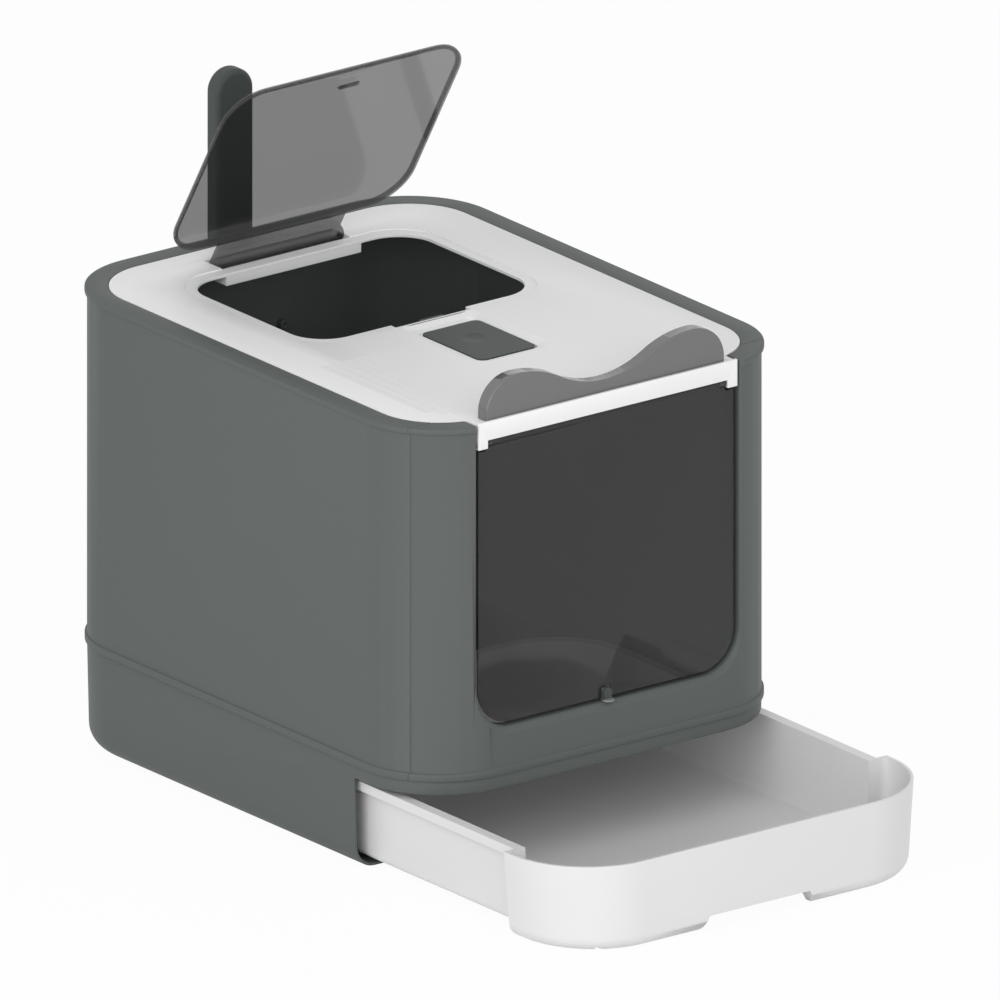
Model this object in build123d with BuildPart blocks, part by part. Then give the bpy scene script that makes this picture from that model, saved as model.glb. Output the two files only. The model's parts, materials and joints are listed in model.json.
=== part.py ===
"""Enclosed litter box with a pull-out drawer, a swinging front door and a top hatch.

Millimetres. X runs to the right along the front, the front faces -Y, Z is up.
The origin is on the floor, under the middle of the housing. The drawer is shown
pulled out and the hatch flap part open, as they stand when the box is being cleaned.
"""
from build123d import *
import os

os.makedirs("parts", exist_ok=True)

# ---------------------------------------------------------------- driving dimensions
body_width = 396.0          # outside of the walls, left to right
body_depth = 515.0          # outside of the walls, front to back
body_height = 407.0         # floor to the top of the rim
corner_radius = 77.5        # of the walls in plan
wall = 2.6                  # moulded wall thickness everywhere
lap_gap = 0.3               # play between pieces that sleeve into each other

base_height = 94.0          # floor to the joint between base and housing
base_draft = 1.2            # degrees, so that the base leaves its mould
base_edge_radius = 21.0     # rolled lower edge of the base
lintel_height = 12.0        # band of the base that bridges the drawer
base_cut_setback = 94.5     # front of the body to where the base's side walls start
spigot_rise = 7.0           # how far the base's spigot stands up inside the housing
spigot_wall = 2.2

bead_height = 7.0           # band round the foot of the housing
bead_proud = 2.0
rim_proud = 2.2             # rim beyond the wall
rim_lip = 5.0               # height of the rim's outer edge
rim_width = 20.0            # flat top of the rim, outside edge to the lid
rim_thickness = 3.0
ledge_width = 7.0           # shelf that carries the lid
ledge_thickness = 2.6
frame_depth = 34.0          # front of the body to the seam of the front frame
seam_lap = 8.0              # tongue of the rear shell inside the front frame

door_way_side = 60.0        # doorway's side to the outside of the walls
door_way_sill = 134.0       # floor to the sill
door_way_radius = 38.0      # lower corners of the doorway
jamb_depth = 14.5           # how far the edge of the doorway turns inwards
door_way_bevel = 4.0        # sloped edge round the doorway

lid_thickness = 4.0
lid_gap = 0.4               # between the lid and the rim
hatch_width = 237.0         # opening in the lid
hatch_length = 185.8
hatch_setback = 77.1        # back of the body to the opening
hatch_radius = 34.0
seat_width = 8.0            # shallow step round the opening, where the flap lies
seat_depth = 1.2
hatch_notch_width = 78.0    # room for the flap's hook
hatch_notch_depth = 6.6

bar_setback = 3.0           # front of the body to the white bar over the door
bar_side_gap = 2.0
bar_rise = 1.4              # bar above the rim
bar_height = 16.6
bar_thickness = 3.0
tab_width = 10.0            # ears of the bar, which hold the door's pins
tab_drop = 7.2
tab_depth = 8.5
tongue_root = 3.0           # where the lid's tongue runs into the rounded front of the lid

door_side_gap = 3.7
door_thickness = 3.0
door_setback = 8.8          # front of the body to the back of the door
door_sill_gap = 2.8
door_radius = 34.0          # lower corners of the door
door_pivot_drop = 18.7      # top of the body to the pins
door_shoulder_drop = 6.6    # pivot to the top of the full-width panel
door_ear_gap = 0.6          # between the door's ear and the tab beside it
door_barrel_radius = 3.2
pin_radius = 2.0
pin_length = 14.0
pin_gap = 0.06              # radial play of a turning pin

lock_pivot_rise = 7.5       # above the sill
lock_post_width = 8.0       # upstand of the sill that holds the turn catch
lock_notch_gap = 0.9        # door notch wider than the post, each side
lock_shaft_radius = 1.6
lock_disc_radius = 4.4
lock_reach = 7.2            # pivot to the tip of the catch
lock_plate = 2.4
lock_boss = 1.6
lock_clear = 0.4            # catch to the door's faces

flap_width = 250.0
flap_length = 193.0
flap_thickness = 3.0
flap_radius = 36.0
flap_edge_radius = 1.2
flap_rest_gap = 0.3         # closed flap above its step
flap_open_angle = 60.0      # how far the flap stands open
hinge_setback = 52.0        # back of the body to the flap's hinge line
hinge_drop = 4.6            # top of the body to the hinge line
hinge_width = 132.0         # flap's hinge sleeve
hinge_barrel_radius = 4.4
hinge_side_gap = 1.3
washer_thickness = 1.0
hinge_pin_radius = 1.5
hinge_box_wall = 3.5
hinge_box_drop = 12.0       # top of the body to the underside of the hinge's well
hinge_well_before = 12.5    # room in front of the hinge line
hinge_well_behind = 11.0    # room behind it
hinge_web_depth = 11.7      # sleeve's web, forward of the pin
hinge_web_radius = 6.0
thumb_width = 68.0          # shallow recess for the thumb under the flap's front edge
thumb_reach = 6.5
thumb_depth = 1.4
hook_width = 20.0           # flap's hook, which the bolt's nose holds
hook_thickness = 1.8
hook_drop = 3.5
hook_setback = 16.5         # flap's front edge to the hook's upright
hook_toe = 2.3
hook_toe_thickness = 1.1

latch_width = 60.0
latch_length = 85.0
latch_setback = 113.1       # opening to the front of the latch plate
latch_drop = 2.6            # top of the body to the plate
latch_thickness = 2.4
latch_travel = 9.0
latch_dimple_radius = 11.5
latch_dimple_depth = 1.1
latch_dimple_back = 50.5    # plate's front edge to the dimple
latch_scallops = 10
pocket_gap = 1.2            # round the latch plate
pocket_drop = 5.2           # top of the body to the pocket's floor
pad_thickness = 2.2         # floor of the pocket
bolt_width = 24.0
bolt_thickness = 3.0
bolt_gap = 0.3
bolt_nose_setback = 6.3     # opening to the front of the bolt's upturned nose
bolt_nose_thickness = 1.5
bolt_beak = 2.3             # nose's top, turned to the back over the hook's toe
bolt_beak_thickness = 1.4
bolt_beak_gap = 0.3
bolt_back = 28.5            # plate's front edge to the tail of the bolt
stem_width = 6.0
stem_length = 12.0
latch_screw_length = 6.0
slot_gap = 0.4

crest_width = 250.0
crest_depth = 12.0
crest_setback = 6.5         # front of the body to the crest
crest_hump_x = 93.0
crest_hump = 36.0
crest_dip = 11.4
crest_shoulder = 6.0
crest_edge_radius = 1.5
crest_screw_x = 80.0
crest_screw_setback = 4.8   # crest's front to its screws

drawer_open = 208.0         # how far the drawer stands out
drawer_front_proud = 3.0    # drawer front beyond the walls, each side
drawer_front_back = 0.5     # closed drawer behind the front of the body
drawer_front_radius = 79.0
drawer_front_setback = 4.0  # closed gap between the drawer front and the base's walls
drawer_rim = 77.0
pan_side_gap = 15.0         # pan behind its front to the outside of the walls
pan_back_gap = 12.4         # closed pan to the outside of the body
pan_bottom = 6.8
pan_draft = 1.2
pan_edge_radius = 6.0
pan_inner_radius = 5.0
pan_void_lap = 40.0         # pan's hollow runs so far into the hollow of the front
void_corner_radius = 6.0
front_edge_radius = 12.0
rail_width = 7.0            # flange along the pan's sides and back
rail_skirt = 8.4
grip_width_top = 108.0      # finger notch under the drawer front
grip_width_bottom = 124.0
grip_height = 13.6
grip_depth = 30.0
foot_width = 16.0           # sole of the drawer front

scoop_handle_width = 39.0
scoop_handle_depth = 17.5
scoop_handle_edge = 5.0
scoop_handle_setback = 2.7  # back of the body to the handle
scoop_setback = 4.5         # back of the body to the bowl
scoop_rise = 142.5          # top of the handle above the body
scoop_neck_drop = 15.0      # top of the body to the scoop's neck
scoop_neck_slope = 40.0     # height of the slope from the neck to the full width
scoop_neck_lap = 20.0       # handle runs so far into the bowl
scoop_corner_radius = 9.0
scoop_head_width = 122.0
scoop_head_depth = 30.0
scoop_wall = 2.4
scoop_slots = 7
scoop_slot_width = 8.0
scoop_slot_pitch = 14.8
holder_wall = 2.4
holder_gap = 1.6            # scoop to the inside of its holder
holder_height = 104.0
holder_drop = 180.0         # top of the body to the holder's underside
holder_screw_x = 42.0
holder_screw_rise = 91.0    # holder's underside to its screws
holder_screw_head = 1.6
boss_radius = 4.2
boss_length = 7.0

screw_radius = 1.7
screw_head_radius = 3.2
screw_head = 2.2
screw_length = 10.0
screw_hole_gap = 0.15
lug_width = 13.0
lug_height = 14.0
lug_thickness = 4.0
lug_first = 56.0            # joint of the housing to the lowest lug
lug_pitch = 112.0
lug_setback = 30.0          # outside of the walls to the screws

# ---------------------------------------------------------------- worked-out places
front_y = -body_depth / 2
back_y = body_depth / 2
seam_y = front_y + frame_depth
base_cut_y = front_y + base_cut_setback
lintel_bottom = base_height - lintel_height
bead_top = base_height + bead_height
rim_outer_width = body_width + 2 * rim_proud
rim_outer_depth = body_depth + 2 * rim_proud
rim_outer_radius = corner_radius + rim_proud
pocket_width = rim_outer_width - 2 * rim_width
pocket_depth = rim_outer_depth - 2 * rim_width
pocket_radius = rim_outer_radius - rim_width
lid_bottom = body_height - lid_thickness
ledge_top = lid_bottom
ledge_bottom = ledge_top - ledge_thickness
rim_under = body_height - rim_thickness
seat_floor = body_height - seat_depth

door_way_width = body_width - 2 * door_way_side
bar_width = door_way_width - 2 * bar_side_gap
bar_face_y = front_y + bar_setback
bar_top = body_height + bar_rise
door_width = door_way_width - 2 * door_side_gap
door_back_y = front_y + door_setback
door_bottom = door_way_sill + door_sill_gap
door_pivot_z = body_height - door_pivot_drop
lock_pivot_z = door_way_sill + lock_pivot_rise
crest_front_y = front_y + crest_setback
crest_screw_y = crest_front_y + crest_screw_setback

hatch_back = back_y - hatch_setback
hatch_front = hatch_back - hatch_length
hinge_y = back_y - hinge_setback
hinge_z = body_height - hinge_drop
hinge_box_bottom = body_height - hinge_box_drop
hinge_well_front = hinge_y - hinge_well_before
hinge_well_back = hinge_y + hinge_well_behind
latch_front_y = hatch_front - latch_setback
latch_top = body_height - latch_drop
latch_dimple_y = latch_front_y + latch_dimple_back
pocket_floor = body_height - pocket_drop
pad_bottom = pocket_floor - pad_thickness
bolt_nose_y = hatch_front - bolt_nose_setback
bolt_back_y = latch_front_y + bolt_back

drawer_front_width = body_width + 2 * drawer_front_proud
drawer_front_y = front_y + drawer_front_back
pan_width = body_width - 2 * pan_side_gap
scoop_front_y = back_y + scoop_setback
scoop_handle_y = back_y + scoop_handle_setback
scoop_top = body_height + scoop_rise
scoop_neck_z = body_height - scoop_neck_drop
holder_bottom = body_height - holder_drop
holder_screw_z = holder_bottom + holder_screw_rise


def plate(width, depth, radius, bottom, top, mode=Mode.ADD):
    """A flat block with rounded corners in plan, centred on the body."""
    with BuildSketch(Plane.XY.offset(bottom)) as plan:
        RectangleRounded(width, depth, radius)
    extrude(plan.sketch, amount=top - bottom, mode=mode)


def inset_plate(inset, bottom, top, mode=Mode.ADD):
    """A block whose plan follows the body's walls, so far inside their outer face."""
    plate(body_width - 2 * inset, body_depth - 2 * inset, corner_radius - inset, bottom, top, mode)


def block(x0, x1, y0, y1, z0, z1, mode=Mode.ADD):
    """A square block between two corners."""
    with BuildSketch(Plane.XY.offset(z0)) as plan:
        with Locations(((x0 + x1) / 2, (y0 + y1) / 2)):
            Rectangle(x1 - x0, y1 - y0)
    extrude(plan.sketch, amount=z1 - z0, mode=mode)


def rod(plane, radius, length, mode=Mode.ADD):
    """A round bar along the plane's normal."""
    with BuildSketch(plane) as section:
        Circle(radius)
    extrude(section.sketch, amount=length, mode=mode)


def finish(part, name):
    """Name a finished piece and write it."""
    part.part.label = name
    export_step(part.part, f"parts/{name}.step")


# ---------------------------------------------------------------- base
with BuildPart() as base_void:
    with BuildSketch(Plane.XY.offset(base_height)):
        RectangleRounded(body_width - 2 * wall, body_depth - 2 * wall, corner_radius - wall)
    extrude(amount=wall - base_height, taper=base_draft)
    fillet(base_void.faces().sort_by(Axis.Z)[0].edges(), base_edge_radius - wall)

with BuildPart() as base_tray:
    with BuildSketch(Plane.XY.offset(base_height)):
        RectangleRounded(body_width, body_depth, corner_radius)
    extrude(amount=-base_height, taper=base_draft)
    fillet(base_tray.faces().sort_by(Axis.Z)[0].edges(), base_edge_radius)
    add(base_void.part, mode=Mode.SUBTRACT)
    # spigot that locates the housing, joined to the wall below the joint
    inset_plate(wall / 2, base_height - spigot_rise, base_height)
    inset_plate(wall + lap_gap, base_height, base_height + spigot_rise)
    inset_plate(wall + lap_gap + spigot_wall, base_height - spigot_rise,
                base_height + spigot_rise, Mode.SUBTRACT)
    # way for the drawer, with the lintel left across the front
    block(-body_width, body_width, front_y - 20, base_cut_y, -1, lintel_bottom, Mode.SUBTRACT)
    # runners under the drawer's rails
    runner_top = drawer_rim - rail_skirt - lap_gap
    runner_inner = pan_width / 2 + lap_gap
    for side in (-1, 1):
        inner = side * runner_inner
        outer = side * (body_width / 2 - wall)
        block(min(inner, outer), max(inner, outer), base_cut_y + 6, back_y - corner_radius,
              runner_top - wall, runner_top)
finish(base_tray, "base_tray")


# ---------------------------------------------------------------- housing
def housing_blank():
    """The drum over the base: walls, bead at the foot, flat rim and the lid's ledge."""
    inset_plate(0, base_height, body_height)
    inset_plate(-bead_proud, base_height, bead_top)
    plate(rim_outer_width, rim_outer_depth, rim_outer_radius, body_height - rim_lip, body_height)
    inset_plate(wall, base_height, rim_under, Mode.SUBTRACT)
    plate(pocket_width + 2 * wall, pocket_depth + 2 * wall, pocket_radius + wall,
          ledge_bottom, rim_under)
    plate(pocket_width, pocket_depth, pocket_radius, ledge_top, body_height, Mode.SUBTRACT)
    plate(pocket_width - 2 * ledge_width, pocket_depth - 2 * ledge_width,
          pocket_radius - ledge_width, ledge_bottom, ledge_top, Mode.SUBTRACT)


lug_levels = [base_height + lug_first + step * lug_pitch for step in range(3)]
lug_x = body_width / 2 - lug_setback


def seam_lugs(y0, y1, hole_radius):
    """Screw lugs beside the seam, three on each side."""
    for side in (-1, 1):
        for level in lug_levels:
            with BuildSketch(Plane.XY.offset(level - lug_height / 2)) as lug:
                RectangleRounded(body_width - wall, body_depth - wall, corner_radius - wall / 2)
                with Locations((side * (lug_x + lug_width), (y0 + y1) / 2)):
                    Rectangle(3 * lug_width, y1 - y0, mode=Mode.INTERSECT)
            extrude(lug.sketch, amount=lug_height)
            hole = Plane(origin=(side * lug_x, y0, level), z_dir=(0, 1, 0))
            rod(hole, hole_radius, y1 - y0, Mode.SUBTRACT)


def doorway_face(grow):
    """Outline of the doorway on the front, open at the top, so far outside its edge."""
    with BuildSketch(Plane.XZ.offset(-front_y)) as face:
        with Locations((0, door_way_sill - grow)):
            Rectangle(door_way_width + 2 * grow, body_height - door_way_sill + 2 * grow,
                      align=(Align.CENTER, Align.MIN))
        fillet(face.vertices().group_by(Axis.Y)[0], door_way_radius + grow)
    return face


with BuildPart() as jamb:
    extrude(doorway_face(wall).sketch, amount=-jamb_depth)
    extrude(doorway_face(2 * wall).sketch, amount=-2 * wall)
    inset_plate(0, base_height, body_height, Mode.INTERSECT)

with BuildPart() as front_frame:
    housing_blank()
    split(bisect_by=Plane.XZ.offset(-seam_y), keep=Keep.TOP)
    # edge of the doorway, turned inwards, with a sloped front
    add(jamb.part)
    extrude(doorway_face(0).sketch, amount=-jamb_depth, mode=Mode.SUBTRACT)
    extrude(doorway_face(door_way_bevel).sketch, amount=-door_way_bevel, taper=45, mode=Mode.SUBTRACT)
    extrude(doorway_face(door_way_bevel).sketch, amount=2 * rim_proud, mode=Mode.SUBTRACT)
    # gap in the rim for the lid's tongue
    block(-door_way_width / 2, door_way_width / 2, front_y, tongue_root - pocket_depth / 2,
          ledge_top, body_height, Mode.SUBTRACT)
    # post in the sill for the turn catch
    post_y = door_back_y - door_thickness
    block(-lock_post_width / 2, lock_post_width / 2, post_y, door_back_y,
          door_way_sill - wall, lock_pivot_z + lock_post_width / 2)
    rod(Plane(origin=(0, post_y, lock_pivot_z), z_dir=(0, 1, 0)),
        lock_shaft_radius + pin_gap, door_thickness, Mode.SUBTRACT)
    seam_lugs(seam_y - lug_thickness, seam_y, screw_radius + screw_hole_gap)
finish(front_frame, "front_frame")

with BuildPart() as rear_shell:
    housing_blank()
    split(bisect_by=Plane.XZ.offset(-seam_y), keep=Keep.BOTTOM)
    # tongue that laps inside the front frame, rooted in the wall behind the seam
    tongue_bottom = bead_top + lap_gap
    tongue_top = ledge_bottom - lap_gap
    tongue_inner = wall + lap_gap + spigot_wall
    for inset, tongue_start, tongue_end in ((wall / 2, seam_y, seam_y + lug_thickness),
                                            (wall + lap_gap, seam_y - seam_lap, seam_y)):
        with BuildSketch(Plane.XY.offset(tongue_bottom)) as tongue:
            RectangleRounded(body_width - 2 * inset, body_depth - 2 * inset, corner_radius - inset)
            RectangleRounded(body_width - 2 * tongue_inner, body_depth - 2 * tongue_inner,
                             corner_radius - tongue_inner, mode=Mode.SUBTRACT)
            with Locations((0, (tongue_start + tongue_end) / 2)):
                Rectangle(body_width, tongue_end - tongue_start, mode=Mode.INTERSECT)
        extrude(tongue.sketch, amount=tongue_top - tongue_bottom)
    for level in lug_levels:
        block(-body_width / 2, body_width / 2, seam_y - seam_lap, seam_y,
              level - lug_height / 2 - lap_gap, level + lug_height / 2 + lap_gap, Mode.SUBTRACT)
    seam_lugs(seam_y, seam_y + lug_thickness, screw_radius + screw_hole_gap)
    # bosses for the screws of the scoop's holder
    for side in (-1, 1):
        boss = Plane(origin=(side * holder_screw_x, back_y - wall - boss_length, holder_screw_z),
                     z_dir=(0, 1, 0))
        rod(boss, boss_radius, boss_length + wall / 2)
        rod(boss, screw_radius + screw_hole_gap, boss_length + wall, Mode.SUBTRACT)
finish(rear_shell, "rear_shell")

with BuildPart() as shell_screws:
    for side in (-1, 1):
        for level in lug_levels:
            head_y = seam_y + lug_thickness
            rod(Plane(origin=(side * lug_x, head_y, level), z_dir=(0, 1, 0)),
                screw_head_radius, screw_head)
            rod(Plane(origin=(side * lug_x, head_y - screw_length, level), z_dir=(0, 1, 0)),
                screw_radius, screw_length)
finish(shell_screws, "shell_screws")

# ---------------------------------------------------------------- lid
latch_middle_y = latch_front_y + latch_length / 2
pocket_front_y = latch_front_y - pocket_gap
pocket_back_y = latch_front_y + latch_length + latch_travel + pocket_gap
with BuildPart() as top_lid:
    plate(pocket_width - 2 * lid_gap, pocket_depth - 2 * lid_gap, pocket_radius - lid_gap,
          lid_bottom, body_height)
    lid_front_y = -pocket_depth / 2 + lid_gap
    # tongue over the doorway, ending in the bar and its two ears
    block(-bar_width / 2, bar_width / 2, bar_face_y, lid_front_y + tongue_root, lid_bottom, body_height)
    block(-bar_width / 2, bar_width / 2, bar_face_y, bar_face_y + bar_thickness,
          bar_top - bar_height, bar_top)
    for side in (-1, 1):
        inner = side * (bar_width / 2 - tab_width)
        outer = side * bar_width / 2
        block(min(inner, outer), max(inner, outer), bar_face_y, bar_face_y + tab_depth,
              bar_top - bar_height - tab_drop, lid_bottom)
        rod(Plane(origin=(min(inner, outer) - 1, door_back_y - door_thickness / 2, door_pivot_z),
                  z_dir=(1, 0, 0)), pin_radius + pin_gap, tab_width + 2, Mode.SUBTRACT)
        rod(Plane((side * crest_screw_x, crest_screw_y, lid_bottom - 1)),
            screw_radius + screw_hole_gap, lid_thickness + 2, Mode.SUBTRACT)
    # well for the flap's hinge, hung under the lid
    well_half = hinge_width / 2 + hinge_side_gap
    block(-well_half - hinge_box_wall, well_half + hinge_box_wall, hatch_back - 1,
          hinge_well_back + wall, hinge_box_bottom, lid_bottom)
    # pad under the latch
    block(-latch_width / 2 - pocket_gap - wall, latch_width / 2 + pocket_gap + wall,
          pocket_front_y - wall, pocket_back_y + wall, pad_bottom, lid_bottom)
    # step that the flap lies in, then the opening itself
    with BuildSketch(Plane.XY.offset(seat_floor)):
        with Locations((0, (hatch_front + hatch_back) / 2)):
            RectangleRounded(hatch_width + 2 * seat_width + 2,
                             hatch_back - hatch_front + 2 * seat_width + 6,
                             hatch_radius + seat_width)
    extrude(amount=seat_depth, mode=Mode.SUBTRACT)
    with BuildSketch(Plane.XY.offset(hinge_box_bottom)):
        with Locations((0, (hatch_front + hatch_back) / 2)):
            RectangleRounded(hatch_width, hatch_back - hatch_front, hatch_radius)
    extrude(amount=body_height - hinge_box_bottom, mode=Mode.SUBTRACT)
    block(-hatch_notch_width / 2, hatch_notch_width / 2, hatch_front - hatch_notch_depth,
          hatch_front + 5, lid_bottom, body_height, Mode.SUBTRACT)
    block(-well_half, well_half, hinge_well_front, hinge_well_back,
          hinge_box_bottom + wall, body_height, Mode.SUBTRACT)
    block(-well_half, well_half, hatch_back, hinge_well_front, seat_floor, body_height, Mode.SUBTRACT)
    rod(Plane(origin=(-well_half - hinge_box_wall + 1, hinge_y, hinge_z), z_dir=(1, 0, 0)),
        hinge_pin_radius + pin_gap / 2, 2 * (well_half + hinge_box_wall - 1), Mode.SUBTRACT)
    # pocket and slot of the sliding latch
    with BuildSketch(Plane.XY.offset(pocket_floor)):
        with Locations((0, (pocket_front_y + pocket_back_y) / 2)):
            RectangleRounded(latch_width + 2 * pocket_gap, pocket_back_y - pocket_front_y, 6)
    extrude(amount=body_height - pocket_floor, mode=Mode.SUBTRACT)
    with BuildSketch(Plane.XY.offset(pad_bottom)):
        with Locations((0, latch_middle_y + latch_travel / 2)):
            Rectangle(stem_width + 2 * slot_gap, stem_length + latch_travel + 2 * slot_gap)
    extrude(amount=pocket_floor - pad_bottom, mode=Mode.SUBTRACT)
finish(top_lid, "top_lid")

# ---------------------------------------------------------------- flap of the hatch
flap_back_y = hatch_back - 2.4
flap_front_y = flap_back_y - flap_length
flap_bottom = seat_floor + flap_rest_gap
flap_top = flap_bottom + flap_thickness
hinge_axis = Axis((0, hinge_y, hinge_z), (-1, 0, 0))
with BuildPart() as flap_closed:
    with BuildSketch(Plane.XY.offset(flap_bottom)):
        with Locations((0, (flap_front_y + flap_back_y) / 2)):
            RectangleRounded(flap_width, flap_length, flap_radius)
    extrude(amount=flap_thickness)
    fillet(flap_closed.faces().sort_by(Axis.Z)[-1].edges(), flap_edge_radius)
    # recess for the thumb, cut from below
    thumb_round = (thumb_width ** 2 / 4 + thumb_reach ** 2) / (2 * thumb_reach)
    with BuildSketch(Plane.XY.offset(flap_bottom)):
        with Locations((0, flap_front_y + thumb_reach - thumb_round)):
            Circle(thumb_round)
    extrude(amount=thumb_depth, mode=Mode.SUBTRACT)
    # tab to the hinge, and the sleeve on its pin with a web in front
    block(-hinge_width / 2, hinge_width / 2, flap_back_y - 2 * flap_edge_radius, hinge_y,
          flap_bottom, flap_top)
    sleeve_end = Plane(origin=(-hinge_width / 2, hinge_y, hinge_z), x_dir=(0, 1, 0), z_dir=(1, 0, 0))
    with BuildSketch(sleeve_end) as web:
        with Locations((0, -hinge_barrel_radius)):
            Rectangle(hinge_web_depth, hinge_barrel_radius + flap_top - hinge_z,
                      align=(Align.MAX, Align.MIN))
        fillet(web.vertices().sort_by(Axis.X)[:2].sort_by(Axis.Y)[0], hinge_web_radius)
        Circle(hinge_barrel_radius)
    extrude(amount=hinge_width)
    rod(sleeve_end, hinge_pin_radius + pin_gap, hinge_width, Mode.SUBTRACT)
    # hook under the panel, with its toe to the front
    hook_y = flap_front_y + hook_setback
    hook_bottom = flap_bottom - hook_drop
    block(-hook_width / 2, hook_width / 2, hook_y, hook_y + hook_thickness, hook_bottom, flap_bottom)
    block(-hook_width / 2, hook_width / 2, hook_y - hook_toe, hook_y,
          hook_bottom, hook_bottom + hook_toe_thickness)
top_flap = flap_closed.part.rotate(hinge_axis, flap_open_angle)
top_flap.label = "top_flap"
export_step(top_flap, "parts/top_flap.step")

with BuildPart() as flap_hinge_pin:
    rod(Plane(origin=(-well_half - hinge_box_wall + 1.2, hinge_y, hinge_z), z_dir=(1, 0, 0)),
        hinge_pin_radius, 2 * (well_half + hinge_box_wall - 1.2))
finish(flap_hinge_pin, "flap_hinge_pin")

with BuildPart() as hinge_washers:
    for side in (-1, 1):
        inner = side * (well_half - 0.15)
        face = Plane(origin=(inner, hinge_y, hinge_z), z_dir=(-side, 0, 0))
        rod(face, hinge_barrel_radius - 0.6, washer_thickness)
        rod(face, hinge_pin_radius + 0.02, washer_thickness, Mode.SUBTRACT)
finish(hinge_washers, "hinge_washers")

# ---------------------------------------------------------------- sliding latch
latch_bottom = latch_top - latch_thickness
with BuildPart() as lid_latch:
    with BuildSketch(Plane.XY.offset(latch_bottom)) as latch_plan:
        with Locations((0, latch_middle_y)):
            Rectangle(latch_width, latch_length)
        fillet(latch_plan.vertices().group_by(Axis.Y)[-1], 14)
        fillet(latch_plan.vertices().group_by(Axis.Y)[0], 8)
        with Locations((0, latch_front_y - 0.6)):
            with GridLocations(latch_width * 0.84 / latch_scallops, 1, latch_scallops, 1):
                Circle(1.8, mode=Mode.SUBTRACT)
    extrude(amount=latch_thickness)
    dimple_ball = (latch_dimple_radius ** 2 + latch_dimple_depth ** 2) / (2 * latch_dimple_depth)
    with Locations((0, latch_dimple_y, latch_top + dimple_ball - latch_dimple_depth)):
        Sphere(dimple_ball, rotation=(90, 0, 0), mode=Mode.SUBTRACT)
    block(-stem_width / 2, stem_width / 2, latch_middle_y - stem_length / 2,
          latch_middle_y + stem_length / 2, pad_bottom - bolt_gap, latch_bottom)
    rod(Plane((0, latch_middle_y, pad_bottom - bolt_gap)), screw_radius + screw_hole_gap,
        latch_screw_length - bolt_thickness + lap_gap, Mode.SUBTRACT)
finish(lid_latch, "lid_latch")

with BuildPart() as latch_bolt:
    bolt_top = pad_bottom - bolt_gap
    bolt_bottom = bolt_top - bolt_thickness
    beak_bottom = hook_bottom + hook_toe_thickness + bolt_beak_gap
    nose_back_y = bolt_nose_y + bolt_nose_thickness
    block(-bolt_width / 2, bolt_width / 2, bolt_back_y, nose_back_y, bolt_bottom, bolt_top)
    block(-bolt_width / 2, bolt_width / 2, bolt_nose_y, nose_back_y,
          bolt_top, beak_bottom + bolt_beak_thickness)
    block(-bolt_width / 2, bolt_width / 2, nose_back_y, nose_back_y + bolt_beak,
          beak_bottom, beak_bottom + bolt_beak_thickness)
    rod(Plane((0, latch_middle_y, bolt_bottom)), screw_radius + screw_hole_gap, bolt_thickness,
        Mode.SUBTRACT)
finish(latch_bolt, "latch_bolt")

with BuildPart() as latch_screw:
    rod(Plane((0, latch_middle_y, bolt_bottom - screw_head)), screw_head_radius, screw_head)
    rod(Plane((0, latch_middle_y, bolt_bottom)), screw_radius, latch_screw_length)
finish(latch_screw, "latch_screw")

# ---------------------------------------------------------------- front door
door_plane = Plane.XZ.offset(-door_back_y)
door_shoulder = door_pivot_z - door_shoulder_drop
door_ear_half = bar_width / 2 - tab_width - door_ear_gap
door_middle_y = door_back_y - door_thickness / 2
notch_half = lock_post_width / 2 + lock_notch_gap
with BuildPart() as front_door:
    with BuildSketch(door_plane) as door_panel:
        with Locations((0, door_bottom)):
            Rectangle(door_width, door_shoulder - door_bottom, align=(Align.CENTER, Align.MIN))
        fillet(door_panel.vertices().group_by(Axis.Y)[0], door_radius)
        with Locations((0, door_shoulder - 1)):
            Rectangle(2 * door_ear_half, door_pivot_z - door_shoulder + 1, align=(Align.CENTER, Align.MIN))
        with Locations((0, door_bottom)):
            Rectangle(2 * notch_half, 2 * (lock_pivot_z + lock_post_width / 2 + 1.4 - door_bottom),
                      mode=Mode.SUBTRACT)
    extrude(amount=door_thickness)
    rod(Plane(origin=(-door_ear_half, door_middle_y, door_pivot_z), z_dir=(1, 0, 0)),
        door_barrel_radius, 2 * door_ear_half)
    for side in (-1, 1):
        start = side * (door_ear_half - pin_length + tab_width - 1)
        rod(Plane(origin=(start, door_middle_y, door_pivot_z), z_dir=(side, 0, 0)),
            pin_radius, pin_length, Mode.SUBTRACT)
finish(front_door, "front_door")

with BuildPart() as door_pins:
    for side in (-1, 1):
        start = side * (door_ear_half - pin_length + tab_width - 1)
        rod(Plane(origin=(start, door_middle_y, door_pivot_z), z_dir=(side, 0, 0)),
            pin_radius, pin_length)
finish(door_pins, "door_pins")


# ---------------------------------------------------------------- turn catch of the door
def catch_plate(y0):
    """Round boss with a blunt finger that hangs down."""
    with BuildSketch(Plane.XZ.offset(-y0)) as outline:
        with Locations((0, lock_pivot_z)):
            Circle(lock_disc_radius)
        with Locations((0, lock_pivot_z - lock_reach + 2.5)):
            SlotCenterPoint((0, 0), (1.6, 0), 5.0)
        with Locations((0, lock_pivot_z - lock_reach / 2 + 1)):
            Rectangle(2 * lock_disc_radius - 0.6, lock_reach - 2)
    extrude(outline.sketch, amount=lock_plate)


knob_back_y = door_back_y - door_thickness - lock_clear
cam_front_y = door_back_y + lock_clear
with BuildPart() as door_lock_knob:
    catch_plate(knob_back_y)
    rod(Plane(origin=(0, knob_back_y, lock_pivot_z), z_dir=(0, 1, 0)),
        lock_shaft_radius, cam_front_y + lock_plate + lock_boss - knob_back_y)
finish(door_lock_knob, "door_lock_knob")

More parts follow.
